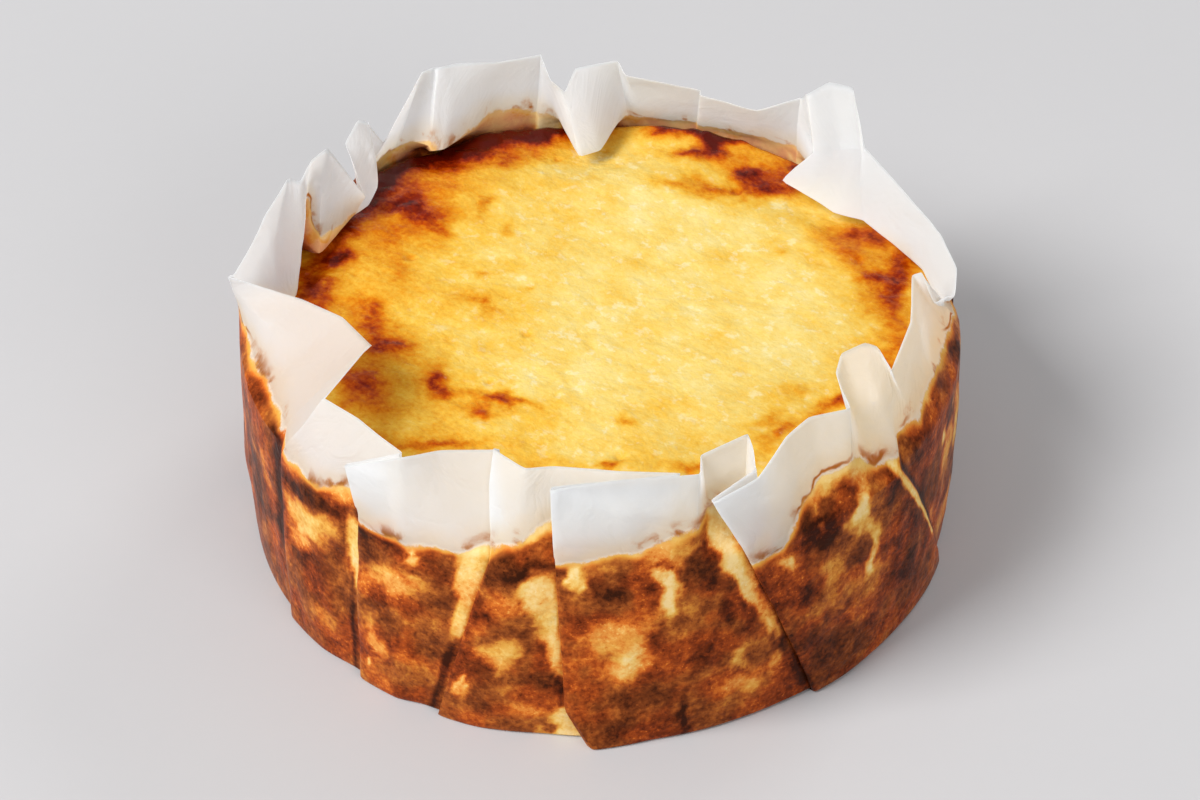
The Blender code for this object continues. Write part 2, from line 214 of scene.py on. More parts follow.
# Dark lines, mostly painted shade in the folds beside the pleats' creases and partly fat burned on:
# the crease, lowest and highest point in mm, and how far from the crease they run and their half width, in
# degrees.
SHADE_AND_FAT_LINES = (
    ("left_pleat", 16, 60, 2.7, 1.4),
    ("pleat_2", -2, 30, 1.5, 0.55),
    ("pleat_3", -2, 24, 1.1, 0.6),
    ("front_pleat", 9, 24, 0.5, 0.4),
    ("right_pleat", 0, 58, 0.35, 0.8),
    ("pleat_6", 5, 62, -0.9, 0.9),
    ("front_streak", 1, 13, 0.0, 0.25),
    ("right_corner", 0, 40, 0.5, 0.5),
    ("back_a", 0, 30, 0.6, 0.5),
    ("back_c", 0, 44, 0.3, 0.5),
    ("back_g", 0, 30, 0.6, 0.6),
    ("back_left_c", 0, 44, 0.3, 0.5),
    ("left_corner", 0, 30, 0.6, 0.6),
)
STRIP_LEVEL = 0.12          # how brown the pale strips are
# the dark lines are painted shade in the folds, partly burnt fat, added as browning
SHADE_AND_FAT_LEVEL = 0.30           # how much browner the dark lines are
TOP_BAKE = 0.12             # how brown the top is between its scorched places
# Scorched and amber places on the top: x, y, half width and half length in mm,
# strength, and for some a turn in degrees.
SCORCH = (
    (-31, 64, 5, 5, 0.65), (-25, 70, 6, 5, 0.85), (-18, 72, 6, 4.5, 0.9), (-14, 70, 4, 3, 0.5, 20),
    (-9, 72, 4, 3, 0.5), (-25, 61, 6, 4, 0.3), (-16, 62, 5, 3, 0.12), (-36, 61, 4, 6, 0.35),
    (-51, 56, 4, 5, 0.7), (-46, 59, 4, 6, 0.7, -30), (-42, 64, 4, 6, 0.7, -30),
    (-50, 49, 3, 7, 0.42, -15), (-54, 41, 4, 8, 0.38, -20), (-59, 32, 4, 8, 0.3, -20),
    (-42, 48, 5, 5, 0.25), (-43, 41, 4.5, 4.5, 0.55), (-38, 37, 3.5, 4, 0.42),
    (-35, 32, 3, 2.5, 0.32), (-45, 30, 4, 3, 0.2), (-45, 18, 2, 5, 0.18, 10), (-58, 23, 3, 3, 0.6),
    (-63, 14, 3, 7, 0.5), (-60, 8, 3, 5, 0.3), (-50, 5, 3, 4, 0.34), (-48, -2, 3.5, 4, 0.38),
    (-45, -8, 3.5, 3, 0.46), (-41, -9, 3, 3, 0.1), (-50, -20, 4, 5, 0.4),
    (-47, -26, 4, 5, 0.26, 10), (-43, -16, 6, 7, 0.04), (-34, -20.5, 2.4, 2.8, 0.5),
    (-31, -23, 2, 2, 0.3), (-24, -30, 2.6, 3, 0.48), (-20.5, -25, 5, 1.7, 0.5, -25),
    (-15, -27.5, 3, 1, 0.25, -20), (-34, -40.5, 9, 1.4, 0.34, 4), (-48, -40, 6, 3, 0.2),
    (4, -31.5, 2, 1.2, 0.25), (-41, -32, 6, 5, 0.06), (-24, 7, 2, 2, 0.3),
    (-28, 7.5, 1.2, 1.4, 0.2), (-26, 42, 1.6, 2.4, 0.25), (-20, 33, 1.3, 1.6, 0.22),
    (-25, 17, 1.6, 1.4, 0.2), (-15, 13, 1, 1, 0.18), (40, 25, 1.2, 1.6, 0.25),
    (41, -23, 4, 2, 0.18, 20), (34, -33, 1.8, 4, 0.28, -35), (37, -37, 1.6, 6, 0.42, -40),
    (47, -28, 4, 2, 0.35, 30), (51, -26, 2, 2, 0.35), (2, -46.5, 2, 1.2, 0.38),
    (18, -47, 4, 1.4, 0.35), (-6, -46, 8, 2, 0.12), (16, 73, 4, 3, 0.75), (23, 70, 4, 4, 0.8),
    (27, 64, 3, 5, 0.75), (21, 61, 5, 2.4, 0.62), (20, 67, 2.6, 2.4, -0.25), (31, 67, 4, 2, 0.55),
    (38, 68, 5, 2, 0.75, -12), (45, 64, 4, 3, 0.85, -30), (49, 60, 3, 4, 0.8, -30),
    (35, 54, 4.2, 3.4, 0.85, -15), (38, 49, 4, 2, 0.5), (18, 51, 5, 2, 0.32), (25, 48, 5, 2, 0.3),
    (32, 47, 6, 2.5, 0.28), (43, 52, 3, 4, 0.45), (60, 31, 4, 3, 0.42, -30), (54, 32, 6, 5, 0.36),
    (52, 25, 4, 5, 0.2), (58, 22, 6, 5, 0.25, -20), (66, 20, 3, 5, 0.36, -20), (61, 15, 4, 3, 0.33),
    (64, 10, 3, 5, 0.38), (64, 2, 3, 5, 0.36), (60, 8, 4, 6, 0.28), (63, -7, 3, 5, 0.34),
    (60, -15, 3, 6, 0.38), (69, 26, 3, 6, 0.3, -30),
)


# ---------------- geometry
def polar(azimuth, radius, height):
    """Return the point at an azimuth in degrees, a radius and a height."""
    turn = math.radians(azimuth)
    return (radius * math.sin(turn), -radius * math.cos(turn), height)


def wall_radius(layer, height):
    """Return the radius of one layer of the pleated side at a height."""
    swell = WALL_BULGE * math.sin(math.pi * min(max(height, 0.0) / CAKE_EDGE, 1.0))
    return WALL_RADIUS + PLY * layer + swell


def blend(low, high, share):
    """Return the value a share of the way from low to high, item by item."""
    return tuple(a + (b - a) * share for a, b in zip(low, high))


def crease_azimuth(foot, edge, bend, height):
    """Return the azimuth of a crease of the side at a height, or at an array of heights."""
    return foot + (edge - foot) * np.interp(height, (0.0, bend[0], CAKE_EDGE), (0.0, bend[1], 1.0))


def moved_off(start, points, distance):
    """Return points of a column moved square to it, towards the outside."""
    moved = []
    before = start
    for azimuth, radius, height in points:
        out = height - before[2]
        up = before[1] - radius
        length = math.hypot(out, up)
        moved.append((azimuth, radius + distance * out / length, height + distance * up / length))
        before = (azimuth, radius, height)
    return moved


def crease_columns(name, foot, edge, layers, stain, top, lip=None, middle=None):
    """Return the one or two columns of a crease: wall values, and collar points."""
    columns = []
    bend = LINES[name][2]
    layers = layers if isinstance(layers, tuple) else (layers,)
    for layer in layers:
        kick = FRONT_CORNER if name == "front_pleat" and layer == 2 else 0.0
        contact = (edge, wall_radius(layer, CAKE_EDGE), CAKE_EDGE)
        if lip is None:
            low = blend((edge, wall_radius(layers[0], CAKE_EDGE), CAKE_EDGE), top, LIP_SHARE)
        else:
            low = lip
        half = middle or blend(low, top, MIDDLE_SHARE)
        collar = moved_off(contact, [low, half, top], PLY * (layer - layers[0]))
        columns.append(((foot, edge, layer, kick, stain, *bend), [polar(*p) for p in collar]))
    return columns


def fine_column(wall, collar):
    """Return one column of points, from the turned-in foot to the collar's top."""
    foot, edge, layer, kick, _, *bend = wall
    low = 0.10 + 0.05 * (2.0 - layer)
    points = [polar(foot, wall_radius(layer, 0.0) + kick - inwards, low + up)
              for inwards, up in FOOT_STEPS]
    for height in np.linspace(WALL_FOOT, CAKE_EDGE, WALL_ROWS):
        azimuth = crease_azimuth(foot, edge, bend, height)
        out = kick * max(0.0, 1.0 - 2.0 * height / CAKE_EDGE)
        points.append(polar(azimuth, wall_radius(layer, height) + out, height))
    for end, rows in zip(collar, COLLAR_ROWS):
        start = points[-1]
        points += [blend(start, end, (row + 1) / rows) for row in range(rows)]
    return points


def fine_sheet():
    """Return the sheet as a grid of points, with each column's stain height."""
    creases = []
    for crease in CREASES:
        creases += crease_columns(*crease)
    grid = []
    stains = []
    for here, after in zip(creases, creases[1:] + creases[:1]):
        turn = 360.0 if after is creases[0] else 0.0
        wall_after = (after[0][0] + turn, after[0][1] + turn, *after[0][2:])
        low = math.dist(polar(here[0][1], WALL_RADIUS, 0), polar(wall_after[1], WALL_RADIUS, 0))
        high = math.dist(here[1][-1], after[1][-1])
        parts = max(1, math.ceil(max(low, high) / CELL))
        for part in range(parts):
            share = part / parts
            wall = blend(here[0], wall_after, share)
            collar = [blend(p, q, share) for p, q in zip(here[1], after[1])]
            grid.append(fine_column(wall, collar))
            stains.append(wall[4])
    return np.array(grid), np.array(stains)


def rounded(grid, rows, times):
    """Return the grid with the creases of some rows rounded off a little."""
    for _ in range(times):
        part = grid[:, rows]
        grid[:, rows] = (np.roll(part, 1, 0) + 4 * part + np.roll(part, -1, 0)) / 6
    return grid


def grid_normals(grid):
    """Return the direction square to the sheet at each point of the grid."""
    across = np.roll(grid, -1, 0) - np.roll(grid, 1, 0)
    up = np.gradient(grid, axis=1)
    square = np.cross(across, up)
    return square / np.maximum(np.linalg.norm(square, axis=2, keepdims=True), 1e-9)


def waves(points, size, seed):
    """Return smooth noise from about -1 to 1 at each point, in waves of one size."""
    flat = points.reshape(-1, 3) / size + seed * 7.31
    return np.array([noise.noise(Vector(p)) for p in flat]).reshape(points.shape[:-1]) * 1.6


def crisp_folds(across, up, length, rng, count, rows):
    """Return heights of straight sharp folds, as in paper that was crumpled and opened."""
    low, high = rows
    lift = np.zeros(across.shape)
    for _ in range(count):
        centre = rng.uniform(0, length), rng.uniform(low, high)
        turn = rng.uniform(0, math.pi)
        half_long = rng.uniform(5, 16)
        half_wide = rng.uniform(2.0, 6.5)
        height = rng.choice((-1, 1)) * rng.uniform(0.03, 0.07) * half_wide
        u = (across - centre[0] + length / 2) % length - length / 2
        v = up - centre[1]
        along = u * math.cos(turn) + v * math.sin(turn)
        aside = v * math.cos(turn) - u * math.sin(turn)
        ends = np.clip(1.0 - (along / half_long) ** 2, 0.0, 1.0)
        lift += height * ends * np.clip(1.0 - np.abs(aside) / half_wide, 0.0, 1.0)
    return lift


def mesh_piece(name, points, faces, material):
    """Return a mesh object made of points in mm and faces."""
    mesh = bpy.data.meshes.new(name)
    mesh.from_pydata((np.asarray(points) * MM).tolist(), [], faces)
    mesh.materials.append(material)
    made = bpy.data.objects.new(name, mesh)
    bpy.context.scene.collection.objects.link(made)
    return made


def point_values(piece, name, values):
    """Store one number for each point of a piece."""
    layer = piece.data.attributes.new(name, "FLOAT", "POINT")
    layer.data.foreach_set("value", np.asarray(values, np.float32).ravel())


def smooth_step(low, high, value):
    """Return 0 below low, 1 above high, and a smooth rise between them."""
    share = np.clip((value - low) / (high - low), 0.0, 1.0)
    return share * share * (3.0 - 2.0 * share)


def half_turn(angle):
    """Return an angle in degrees as one between -180 and 180."""
    return (angle + 180.0) % 360.0 - 180.0


def side_bake(grid):
    """Return how brown the sheet is at each point, from 0, pale, to 1, dark."""
    azimuth = np.degrees(np.arctan2(grid[..., 0], -grid[..., 1]))
    height = grid[..., 2]
    straight = azimuth
    azimuth = azimuth + waves(grid, 5.0, 1) * 1.4 + waves(grid, 2.4, 2) * 0.8
    height = height + waves(grid, 6.0, 3) * 1.8 + waves(grid, 2.6, 4) * 1.0
    mottle = 0.10 * waves(grid, 15.0, 5) + 0.11 * waves(grid, 7.0, 6) + 0.10 * waves(grid, 3.2, 7)
    level = SIDE_BAKE + mottle * (0.35 + 0.65 * smooth_step(6, 22, height))
    for at, up, wide, tall, strength in SIDE_PATCHES + hidden_patches():
        away = half_turn(azimuth - at) * math.radians(WALL_RADIUS)
        level += strength * (1 - smooth_step(0.45, 1.35, np.hypot(away / wide, (height - up) / tall)))
    for name, low, high, narrow, wide in PALE_STRIPS:
        share = np.clip((height - low) / (high - low), 0.0, 1.0)
        away = half_turn(crease_azimuth(*LINES[name], grid[..., 2]) - straight)
        width = narrow + (wide - narrow) * share
        width = width * (1.0 + 0.25 * waves(grid, 4.0, 8))
        inside = smooth_step(-0.5, 0.3, away) * (1 - smooth_step(width * 0.75, width * 1.2, away))
        inside *= smooth_step(low - 2, low + 3, height) * (1 - smooth_step(high - 1, high + 3, height))
        level = level * (1 - inside) + (STRIP_LEVEL + 0.7 * mottle) * inside
    # painted shade in the folds beside the creases, partly burnt fat, darkens the side here
    for name, low, high, offset, half in SHADE_AND_FAT_LINES:
        away = np.abs(half_turn(crease_azimuth(*LINES[name], grid[..., 2]) - offset - straight))
        inside = 1 - smooth_step(half * 0.2, half * 1.7, away)
        inside = inside * smooth_step(low - 3, low + 5, grid[..., 2])
        level += SHADE_AND_FAT_LEVEL * inside * (1 - smooth_step(high - 5, high + 3, grid[..., 2]))
    return level


def hidden_patches():
    """Return patches like those of the front for the rest of the side."""
    rng = np.random.default_rng(7)
    patches = []
    for azimuth in np.arange(72.0, 262.0, 9.0):
        up = rng.uniform(24, 40)
        wide = rng.uniform(3.0, 5.5)
        patches.append((azimuth + rng.uniform(-3, 3), up, wide, rng.uniform(4, 8), -rng.uniform(0.25, 0.5)))
        patches.append((azimuth + rng.uniform(-4, 4), rng.uniform(42, 48), rng.uniform(3, 7), 3.5, 0.2))
        patches.append((azimuth + rng.uniform(-4, 4), rng.uniform(5, 18), wide, 3.5, rng.uniform(-0.3, 0.15)))
        patches.append((azimuth + rng.uniform(-4, 4), rng.uniform(38, 46), 1.5, 2.5, -0.5))
    return tuple(patches)


def crumple(grid, climbed, unrolled):
    """Return how far each point of the sheet lies outside its plain shape."""
    height = grid[..., 2]
    loose = smooth_step(CAKE_EDGE - 2, CAKE_EDGE + 6, height)
    pressed = smooth_step(2, 8, height) * (1 - loose)
    tall = grid * np.array([1.0, 1.0, 0.18])
    rng = np.random.default_rng(11)
    across = np.repeat(unrolled[:-1, None], grid.shape[1], axis=1)
    lift = loose * crisp_folds(across, climbed, unrolled[-1], rng, *COLLAR_FOLDS)
    lift += loose * 0.2 * waves(grid, 19.0, 10)
    lift += pressed * 0.6 * crisp_folds(across, climbed, unrolled[-1], rng, *SIDE_FOLDS)
    lift += pressed * (0.22 * waves(grid, 13.0, 14) + 0.13 * waves(tall, 2.8, 15))
    return lift


def map_sheet(piece, climbed, unrolled):
    """Lay the unrolled sheet out as the piece's flat map, in metres."""
    columns, rows = climbed.shape
    sheet_map = piece.data.uv_layers.new(name="sheet")
    spots = np.zeros((len(piece.data.loops), 2))
    for polygon in piece.data.polygons[: columns * (rows - 1)]:
        column, row = divmod(polygon.index, rows - 1)
        corners = ((column, row), (column + 1, row), (column + 1, row + 1), (column, row + 1))
        for loop, (c, r) in zip(polygon.loop_indices, corners):
            spots[loop] = (unrolled[c] * MM, climbed[c % columns, r] * MM)
    sheet_map.data.foreach_set("uv", spots.astype(np.float32).ravel())


def parchment_case(outside, inside):
    """Make the paper: base, pleated side and crumpled collar, one creased sheet."""
    grid, stains = fine_sheet()
    columns, rows = grid.shape[:2]
    collar_row = FOOT_ROWS + WALL_ROWS
    grid = rounded(grid, slice(0, collar_row + 3), 3)
    grid = rounded(grid, slice(collar_row + 3, rows), 1)
    grid[:, 4:-1] = (grid[:, 3:-2] + 6 * grid[:, 4:-1] + grid[:, 5:]) / 8
    bake = side_bake(grid)
    steps = np.linalg.norm(np.diff(grid, axis=1), axis=2)
    climbed = np.concatenate([np.zeros((columns, 1)), np.cumsum(steps, axis=1)], axis=1)
    climbed = climbed - FOOT_STEPS[0][0]
    around = np.linalg.norm(np.roll(grid, -1, 0) - grid, axis=2)[:, FOOT_ROWS + WALL_ROWS // 2]
    unrolled = np.concatenate([[0.0], np.cumsum(around)])
    above = climbed - stains[:, None]
    above += 0.9 * waves(grid, 9.0, 31) + 0.5 * waves(grid, 4.0, 32)
    grid = grid + grid_normals(grid) * crumple(grid, climbed, unrolled)[..., None]

    faces = []
    for column in range(columns):
        beside = (column + 1) % columns
        for row in range(rows - 1):
            a = column * rows + row
            b = beside * rows + row
            faces.append((a, b, b + 1, a + 1))
    points = grid.reshape(-1, 3).tolist()
    first = len(points)
    points += [polar(360.0 * k / BASE_CORNERS, BASE_RADIUS, BASE_HEIGHT) for k in range(BASE_CORNERS)]
    faces.append(tuple(first + k for k in reversed(range(BASE_CORNERS))))
    piece = mesh_piece("parchment_case", points, faces, outside)
    piece.data.materials.append(inside)
    for name, values, on_base in (("bake", bake, SIDE_BAKE), ("above_stain", above, BASE_STAIN)):
        point_values(piece, name, np.append(values.ravel(), np.full(BASE_CORNERS, on_base)))
    map_sheet(piece, climbed, unrolled)
    piece.data.shade_smooth()
    piece.data.set_sharp_from_angle(angle=math.radians(SHARP_FOLD))
    solid = piece.modifiers.new("thickness", "SOLIDIFY")
    solid.thickness = PAPER * MM
    solid.offset = 0.0
    solid.use_even_offset = False
    solid.material_offset = 1
    return piece


def top_lift(x, y):
    """Return how far the top of the cake is above its plain shape, in mm."""
    turn = np.arctan2(x, -y)
    share = np.hypot(x, y) / CAKE_RADIUS
    lift = 0.35 * np.sin(2 * turn + 0.7) + 0.25 * np.sin(5 * turn) + 0.15 * np.sin(9 * turn)
    lift = lift * share
    for at, out, depth, width in DENTS:
        dent_x, dent_y, _ = polar(at, out, 0.0)
        lift -= depth * np.exp(-((x - dent_x) ** 2 + (y - dent_y) ** 2) / width ** 2)
    return lift


def top_bake(points):
    """Return how brown the top is at each point, from 0, pale, to 1, burnt."""
    x = points[:, 0] + waves(points, 6.0, 21) * 1.5 + waves(points, 2.4, 22) * 0.8
    y = points[:, 1] + waves(points, 6.0, 23) * 1.5 + waves(points, 2.4, 24) * 0.8
    level = np.full(len(points), TOP_BAKE)
    for at_x, at_y, wide, long, strength, *turn in SCORCH:
        turn = math.radians(sum(turn))
        c, s = math.cos(turn), math.sin(turn)
        u = ((x - at_x) * c + (y - at_y) * s) / wide
        v = ((y - at_y) * c - (x - at_x) * s) / long
        near = np.sqrt(u * u + v * v)
        level += strength * (0.72 * np.exp(-0.8 * near ** 2) + 0.28 * np.exp(-0.9 * near))
    # browner towards the left and the front, paler behind the middle
    level += 0.17 * (1 - smooth_step(-65, 12, x - 0.2 * y)) + 0.07 * (1 - smooth_step(-60, -5, y))
    level -= 0.04 * np.exp(-(x ** 2 + (y - 42) ** 2) / 26 ** 2)
    radius = np.hypot(points[:, 0], points[:, 1])
    level += 0.12 * smooth_step(64, 75, radius)
    level += 0.05 * waves(points, 14.0, 25) + 0.04 * waves(points, 6.0, 26)
    return level


def disc_grid(cells):
    """Return the points of a square grid bent into a round disc of radius 1."""
    steps = np.linspace(-1, 1, cells + 1)
    a, b = np.meshgrid(steps, steps, indexing="ij")
    wide = np.abs(a) > np.abs(b)
    radius = np.where(wide, a, b)
    with np.errstate(divide="ignore", invalid="ignore"):
        turn = np.where(wide, math.pi / 4 * b / a, math.pi / 2 - math.pi / 4 * a / b)
    turn = np.nan_to_num(turn)
    return radius * np.cos(turn), radius * np.sin(turn)


def plain_cake(material):
    """Make the cake's drum: fine grid on top, round edge, side and underside."""
    cells = CAKE_CELLS
    side = cells + 1
    flat_radius = CAKE_RADIUS - EDGE_ROUND
    x, y = disc_grid(cells)
    x, y = x.ravel() * flat_radius, y.ravel() * flat_radius
    share = np.hypot(x, y) / CAKE_RADIUS
    height = CAKE_HEIGHT - CENTRE_SINK * (1 - share) ** 0.7 + top_lift(x, y)
    points = np.stack([x, y, height], 1).tolist()
    faces = []
    for i in range(cells):
        for j in range(cells):
            a = i * side + j
            faces.append((a, a + side, a + side + 1, a + 1))
    rim = [i * side for i in range(side)]
    rim += [cells * side + j for j in range(1, side)]
    rim += [i * side + cells for i in reversed(range(cells))]
    rim += [j for j in reversed(range(1, cells))]
    profile = [(EDGE_ROUND * math.sin(t), EDGE_ROUND * (math.cos(t) - 1.0))
               for t in np.radians([18, 36, 54, 72, 90])]
    profile += [(EDGE_ROUND, drop) for drop in SIDE_DROPS]
    profile += [(EDGE_ROUND, None), (EDGE_ROUND - 3, None)]
    last = rim
    for out, drop in profile:
        ring = []
        for vertex in rim:
            px, py, pz = points[vertex]
            scale = (flat_radius + out) / flat_radius
            if drop is None:
                level = CAKE_BOTTOM + (1.5 if out == EDGE_ROUND else 0.0)
            else:
                level = pz + drop
            ring.append(len(points))
            points.append((px * scale, py * scale, level))
        count = len(ring)
        for k in range(count):
            after = (k + 1) % count
            faces.append((last[k], ring[k], ring[after], last[after]))
        last = ring
    faces.append(tuple(reversed(last)))
    piece = mesh_piece("cake_body", points, faces, material)
    placed = np.array(points)
    top = smooth_step(CAKE_HEIGHT - 9, CAKE_HEIGHT - 4, placed[:, 2])
    point_values(piece, "bake", top_bake(placed))
    point_values(piece, "on_top", top)
    piece.data.shade_smooth()
    return piece


# ---------------- node help
def put(tree, kind, inputs=(), **settings):
    """Add a node to a tree, set it up, and fill its inputs with values or links."""
    made = tree.nodes.new(kind)
    for name, value in settings.items():
        setattr(made, name, value)
    for key, value in dict(inputs).items():
        if isinstance(value, bpy.types.NodeSocket):
            tree.links.new(value, made.inputs[key])
        else:
            made.inputs[key].default_value = value
    return made


def reckon(tree, operation, *values):
    """Return the result of a Math node on the values."""
    return put(tree, "ShaderNodeMath", enumerate(values), operation=operation).outputs[0]


def product(tree, first, second):
    """Return one value times another."""
    return reckon(tree, "MULTIPLY", first, second)


def centred(tree, value):
    """Return a noise value, which is about a half, as one about nought."""
    return reckon(tree, "MULTIPLY_ADD", value, 4.0, -2.0)


def cloudy(tree, place, scale, detail, rough=0.5, distortion=0.0):
    """Return the value of a noise texture."""
    inputs = {"Vector": place, "Scale": scale, "Detail": detail, "Roughness": rough,
              "Distortion": distortion}
    return put(tree, "ShaderNodeTexNoise", inputs).outputs[0]


def bubbly(tree, place, scale, smoothness):
    """Return round bubbles, from 0 between them to 1 in the middle of each."""
    cells = put(tree, "ShaderNodeTexVoronoi", {"Vector": place, "Scale": scale, "Smoothness": smoothness},
                feature="SMOOTH_F1")
    return spread(tree, cells.outputs["Distance"], 0.6, 0.1)


def drawn_out(tree, place, share):
    """Return positions for marks that are longer the way the batter was smoothed."""
    turned = put(tree, "ShaderNodeVectorRotate", {"Vector": place, "Angle": math.radians(DRAWN_OUT)},
                 rotation_type="Z_AXIS").outputs[0]
    return put(tree, "ShaderNodeVectorMath", {0: turned, 1: (share, 1.0, 1.0)},
               operation="MULTIPLY").outputs[0]


def stored(tree, name):
    """Return a value stored for each point of the piece, in a material."""
    return put(tree, "ShaderNodeAttribute", attribute_name=name).outputs["Fac"]


def spread(tree, value, low, high, at_low=0.0, at_high=1.0):
    """Return a smooth step of a value: at_low up to low, at_high from high on."""
    step = put(tree, "ShaderNodeMapRange", enumerate((value, low, high, at_low, at_high)),
               interpolation_type="SMOOTHSTEP")
    return step.outputs[0]


def mixed(tree, factor, first, second, blend_type="MIX"):
    """Return a mix of two colours."""
    mix = put(tree, "ShaderNodeMix", data_type="RGBA", blend_type=blend_type)
    for place, value in ((0, factor), (6, first), (7, second)):
        if isinstance(value, bpy.types.NodeSocket):
            tree.links.new(value, mix.inputs[place])
        else:
            mix.inputs[place].default_value = value
    return mix.outputs[2]


def ramp(tree, value, stops):
    """Return the colour of a ramp, given as rising places and their colours."""
    made = put(tree, "ShaderNodeValToRGB", {0: value})
    points = made.color_ramp.elements
    while len(points) < len(stops):
        points.new(1.0)
    for point, (place, _) in zip(points, stops):
        point.position = place
    for point, (_, colour) in zip(points, stops):
        point.color = colour
    return made.outputs["Color"]


def tint(red, green, blue, share=1.0):
    """Return a linear colour from 0 to 255 values, and how much of its light it keeps."""
    parts = [c / 255 for c in (red, green, blue)]
    linear = [c / 12.92 if c <= 0.04045 else ((c + 0.055) / 1.055) ** 2.4 for c in parts]
    return (*[c * share for c in linear], 1.0)


def ramp_stops(places, colours, share=1.0):
    """Return places and 0 to 255 colours as the stops of a ramp."""
    return [(place, tint(*colour, share)) for place, colour in zip(places, colours)]


def named_group(name, kind, sockets, numbers, outputs):
    """Return a new node group with its sockets, and its input and output nodes."""
    tree = bpy.data.node_groups.new(name, kind)
    for socket in sockets:
        tree.interface.new_socket(socket, in_out="INPUT", socket_type="NodeSocket" + socket)
    for socket, value in numbers.items():
        item = tree.interface.new_socket(socket, in_out="INPUT", socket_type="NodeSocketFloat")
        item.default_value = value
    for socket in outputs:
        kind = "Geometry" if socket == "Geometry" else "Float"
        tree.interface.new_socket(socket, in_out="OUTPUT", socket_type="NodeSocket" + kind)
    return tree, tree.nodes.new("NodeGroupInput"), tree.nodes.new("NodeGroupOutput")


def placed_group(tree, group, inputs):
    """Return the outputs of a node group placed in a tree."""
    return put(tree, group.bl_idname.replace("Tree", "") + "Group", inputs, node_tree=group).outputs


# ---------------- node groups
def uneven_baking_group():
    """Make the group that mottles a browning level, as an oven does."""
    tree, given, result = named_group("uneven_baking", "ShaderNodeTree", ["Vector"], {
        "Level": 0.5, "Coarse Size": 0.008, "Fine Size": 0.0015,
        "Coarse Amount": 0.1, "Fine Amount": 0.05}, ["Level", "Coarse", "Fine"])
    level = given.outputs["Level"]
    for grade, detail in (("Coarse", 5.0), ("Fine", 3.0)):
        scale = reckon(tree, "DIVIDE", 1.0, given.outputs[grade + " Size"])
        cloud = centred(tree, cloudy(tree, given.outputs["Vector"], scale, detail, 0.6, 0.25))
        change = product(tree, cloud, given.outputs[grade + " Amount"])
        level = reckon(tree, "ADD", level, change)
        tree.links.new(cloud, result.inputs[grade])
    tree.links.new(level, result.inputs["Level"])
    return tree


def fine_relief_group():
    """Make the group that gives the height of fine creases and grain."""
    tree, given, result = named_group("fine_relief", "ShaderNodeTree", ["Vector"], {
        "Crease Size": 0.006, "Grain Size": 0.0005, "Creases": 1.0, "Grain": 0.3}, ["Height"])
    scale = reckon(tree, "DIVIDE", 1.0, given.outputs["Crease Size"])
    swirl = cloudy(tree, given.outputs["Vector"], scale, 3.0, 0.55, 0.8)
    ridge = reckon(tree, "ABSOLUTE", centred(tree, swirl))
    creased = product(tree, ridge, given.outputs["Creases"])
    scale = reckon(tree, "DIVIDE", 1.0, given.outputs["Grain Size"])
    grain = cloudy(tree, given.outputs["Vector"], scale, 2.0, 0.6)
    grained = product(tree, grain, given.outputs["Grain"])
    tree.links.new(reckon(tree, "ADD", creased, grained), result.inputs["Height"])
    return tree


def baked_skin_tree():
    """Make the tree that wrinkles, pits and blisters the top of the cake."""
    tree, given, result = named_group("baked_skin", "GeometryNodeTree", ["Geometry", "Material"], {
        "Wrinkle Height": 0.0003, "Wrinkle Size": 0.008, "Swell Height": 0.0004, "Pit Depth": 0.0007,
        "Pit Spacing": 0.009, "Blister Height": 0.0006, "Blister Size": 0.006}, ["Geometry"])
    size = given.outputs
    place = put(tree, "GeometryNodeInputPosition").outputs[0]
    bake, on_top = [put(tree, "GeometryNodeInputNamedAttribute", {"Name": name},
                        data_type="FLOAT").outputs[0] for name in ("bake", "on_top")]
    scale = reckon(tree, "DIVIDE", 1.0, size["Wrinkle Size"])
    wrinkle = centred(tree, cloudy(tree, drawn_out(tree, place, 0.6), scale, 3.0, 0.5, 0.6))
    lift = product(tree, wrinkle, size["Wrinkle Height"])
    swell = centred(tree, cloudy(tree, place, 45.0, 2.0))
    lift = reckon(tree, "MULTIPLY_ADD", swell, size["Swell Height"], lift)
    scale = reckon(tree, "DIVIDE", 1.0, size["Pit Spacing"])
    pit = put(tree, "ShaderNodeTexVoronoi", {"Vector": place, "Scale": scale}).outputs["Distance"]
    pit = spread(tree, pit, 0.16, 0.03)
    lift = reckon(tree, "SUBTRACT", lift, product(tree, pit, size["Pit Depth"]))
    bubble = bubbly(tree, place, reckon(tree, "DIVIDE", 1.0, size["Blister Size"]), 0.6)
    scorched = spread(tree, bake, 0.35, 0.8)
    dome = product(tree, product(tree, bubble, scorched), size["Blister Height"])
    lift = product(tree, reckon(tree, "ADD", lift, dome), on_top)
    move = put(tree, "ShaderNodeCombineXYZ", {"Z": lift}).outputs[0]
    shaped = put(tree, "GeometryNodeSetPosition", {"Geometry": size["Geometry"], "Offset": move}).outputs[0]
    kept = put(tree, "GeometryNodeStoreNamedAttribute",
               {"Geometry": shaped, "Name": "pitted", "Value": product(tree, pit, on_top)},
               data_type="FLOAT", domain="POINT").outputs[0]
    real = put(tree, "GeometryNodeRealizeInstances", {"Geometry": kept}).outputs[0]
    done = put(tree, "GeometryNodeSetMaterial", {"Geometry": real, "Material": size["Material"]}).outputs[0]
    tree.links.new(done, result.inputs["Geometry"])
    return tree


